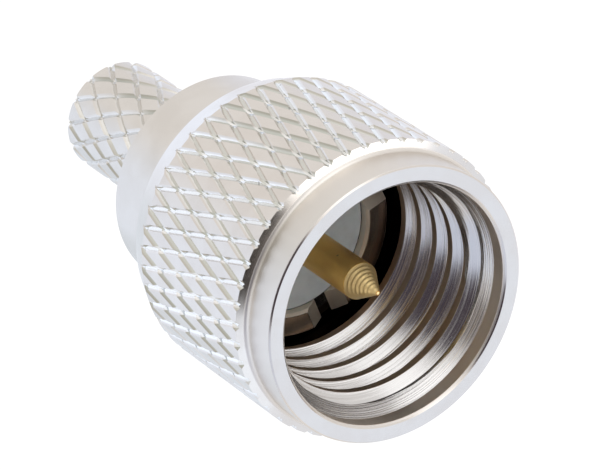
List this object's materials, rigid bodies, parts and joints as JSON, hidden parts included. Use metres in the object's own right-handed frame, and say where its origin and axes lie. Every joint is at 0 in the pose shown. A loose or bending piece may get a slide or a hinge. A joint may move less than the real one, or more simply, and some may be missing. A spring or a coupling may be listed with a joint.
{
  "type": "miniature uhf coaxial plug connector",
  "caption": "Miniature UHF coaxial crimp plug: knurled coupling nut that spins on a turned body, pointed gold centre pin, crimp stem.",
  "frame": {"origin": "centre of the crimp stem's rear end, which the part stands on", "axes": "+Z along the connector's axis, towards the mating end; +X through one of the rim's slots"},
  "size_m": [0.012, 0.012, 0.0204],
  "materials": {
    "nickel_body": "bright nickel plating on turned brass",
    "nickel_nut": "bright nickel plating on turned brass",
    "spring_bronze": "plain spring bronze",
    "white_insulator": "matte white fluoropolymer",
    "gold_contact": "gold plating on turned brass"
  },
  "bodies": {
    "connector_body": {"body": "nickel_body", "insulator": "white_insulator", "centre_contact": "gold_contact", "retaining_ring": "spring_bronze"},
    "nut": {"coupling_nut": "nickel_nut"}
  },
  "joints": [
    {"name": "nut_spin", "type": "hinge", "parent": "connector_body", "child": "nut", "pos_m": [0, 0, 0.0156], "axis": [0, 0, 1], "continuous": true}
  ]
}
